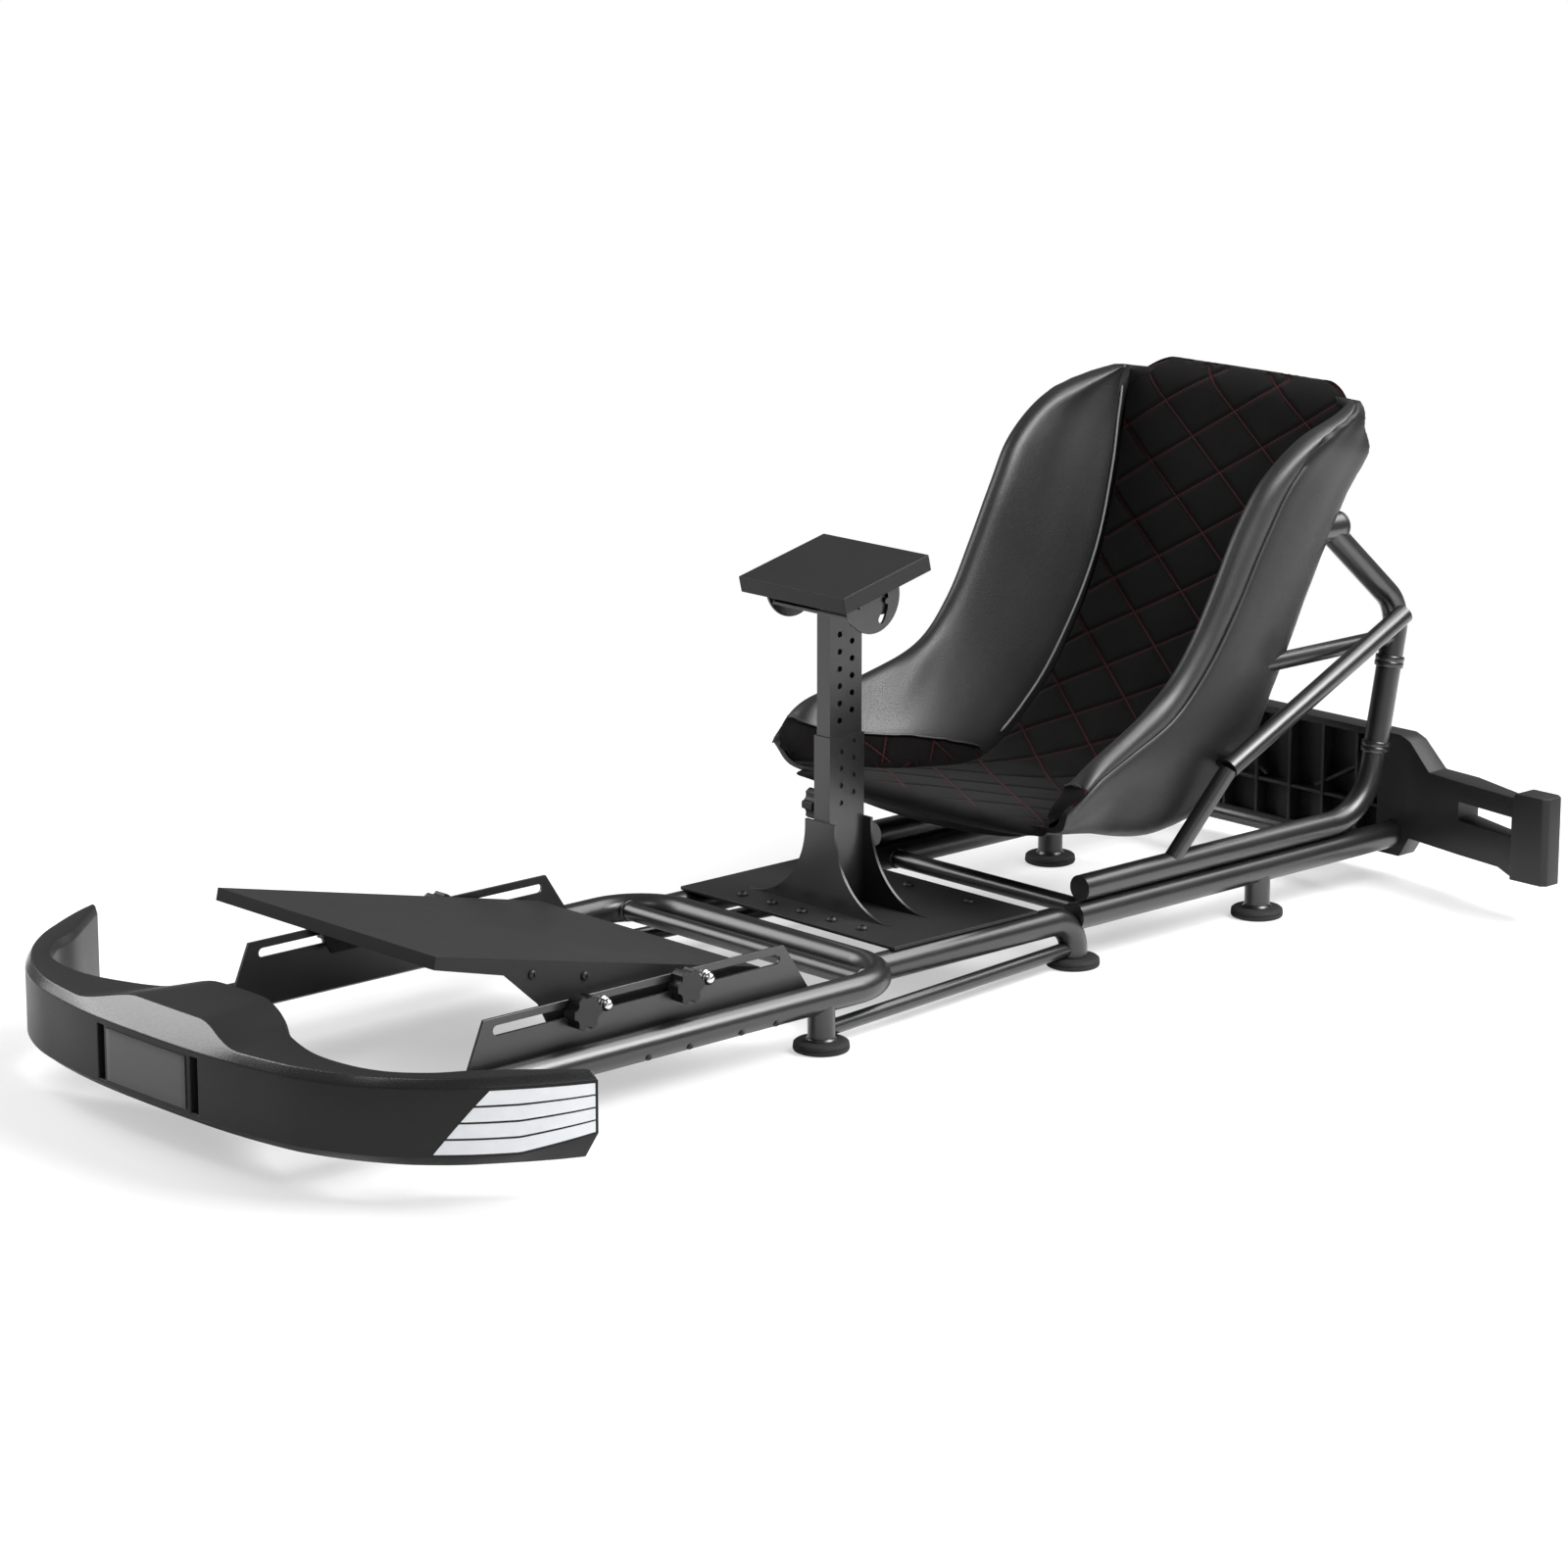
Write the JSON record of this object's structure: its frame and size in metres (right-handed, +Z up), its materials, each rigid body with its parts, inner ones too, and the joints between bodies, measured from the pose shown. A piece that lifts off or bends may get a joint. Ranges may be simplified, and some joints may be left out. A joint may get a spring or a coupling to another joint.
{
  "type": "sim racing cockpit",
  "caption": "Low kart-style driving simulator cockpit: black tube frame on round feet, sloping pedal plate, wheel post with tilting plate, bucket seat on bent hoops, front and rear bumpers.",
  "frame": {"origin": "on the floor, under the middle of the whole length and width", "axes": "+Z up, -Y towards the pedals and the front bumper, +X to the seated driver's left"},
  "size_m": [1.02, 2.04, 0.7223],
  "materials": {
    "frame_paint": "satin black powder coat",
    "bumper_plastic": "fine grained black moulding",
    "knob_plastic": "moulded black",
    "foot_rubber": "matte black rubber",
    "bolt_steel": "bright plated steel",
    "shell_leather": "smooth black synthetic leather",
    "bolster_leather": "smooth black synthetic leather",
    "pad_fabric": "black suede with dark red quilting"
  },
  "bodies": {
    "base": {"front_u_tube": "frame_paint", "front_cross_bar": "frame_paint", "mid_cross_bar": "frame_paint", "rear_cross_bar": "frame_paint", "steering_base_plate": "frame_paint", "front_gusset": "frame_paint", "rear_gusset": "frame_paint", "post_sleeve": "frame_paint", "post_knob": "knob_plastic", "front_bumper": "bumper_plastic", "rear_bumper": "bumper_plastic", "mid_rail_left": "frame_paint", "rear_rail_left": "frame_paint", "low_link_left": "frame_paint", "pedal_bracket_left": "frame_paint", "front_foot_left": "foot_rubber", "mid_foot_left": "foot_rubber", "rear_foot_left": "foot_rubber", "mid_rail_right": "frame_paint", "rear_rail_right": "frame_paint", "low_link_right": "frame_paint", "pedal_bracket_right": "frame_paint", "front_foot_right": "foot_rubber", "mid_foot_right": "foot_rubber", "rear_foot_right": "foot_rubber"},
    "pedal_deck": {"pedal_plate": "frame_paint", "pedal_knob_front_left": "knob_plastic", "pedal_knob_rear_left": "knob_plastic", "pedal_nut_front_left": "bolt_steel", "pedal_nut_rear_left": "bolt_steel", "pedal_knob_front_right": "knob_plastic", "pedal_knob_rear_right": "knob_plastic", "pedal_nut_front_right": "bolt_steel", "pedal_nut_rear_right": "bolt_steel"},
    "steering_post": {"steering_post": "frame_paint", "post_head": "frame_paint", "tilt_pin": "bolt_steel", "tilt_lock_bolt": "bolt_steel"},
    "wheel_plate": {"wheel_plate": "frame_paint", "wheel_ear_left": "frame_paint", "wheel_ear_right": "frame_paint"},
    "seat": {"seat_shell": "shell_leather", "seat_center_pad": "pad_fabric", "seat_hoop_left": "frame_paint", "seat_boss_left": "frame_paint", "seat_brace_left": "frame_paint", "seat_strut_left": "frame_paint", "seat_lug_left": "frame_paint", "seat_stay_left": "frame_paint", "hoop_cap_left": "knob_plastic", "seat_bolster_left": "bolster_leather", "seat_hoop_right": "frame_paint", "seat_boss_right": "frame_paint", "seat_brace_right": "frame_paint", "seat_strut_right": "frame_paint", "seat_lug_right": "frame_paint", "seat_stay_right": "frame_paint", "hoop_cap_right": "knob_plastic", "seat_bolster_right": "bolster_leather"}
  },
  "joints": [
    {"name": "pedal_slide", "type": "slide", "parent": "base", "child": "pedal_deck", "axis": [0, 1, 0], "range_m": [-0.1, 0.1]},
    {"name": "post_slide", "type": "slide", "parent": "base", "child": "steering_post", "axis": [0, 0, 1], "range_m": [-0.04, 0.06]},
    {"name": "wheel_tilt", "type": "hinge", "parent": "steering_post", "child": "wheel_plate", "pos_m": [0, 0.059, 0.509], "axis": [1, 0, 0], "range_deg": [-8, 32]},
    {"name": "seat_slide", "type": "slide", "parent": "base", "child": "seat", "axis": [0, 1, 0], "range_m": [-0.07, 0.01]}
  ]
}
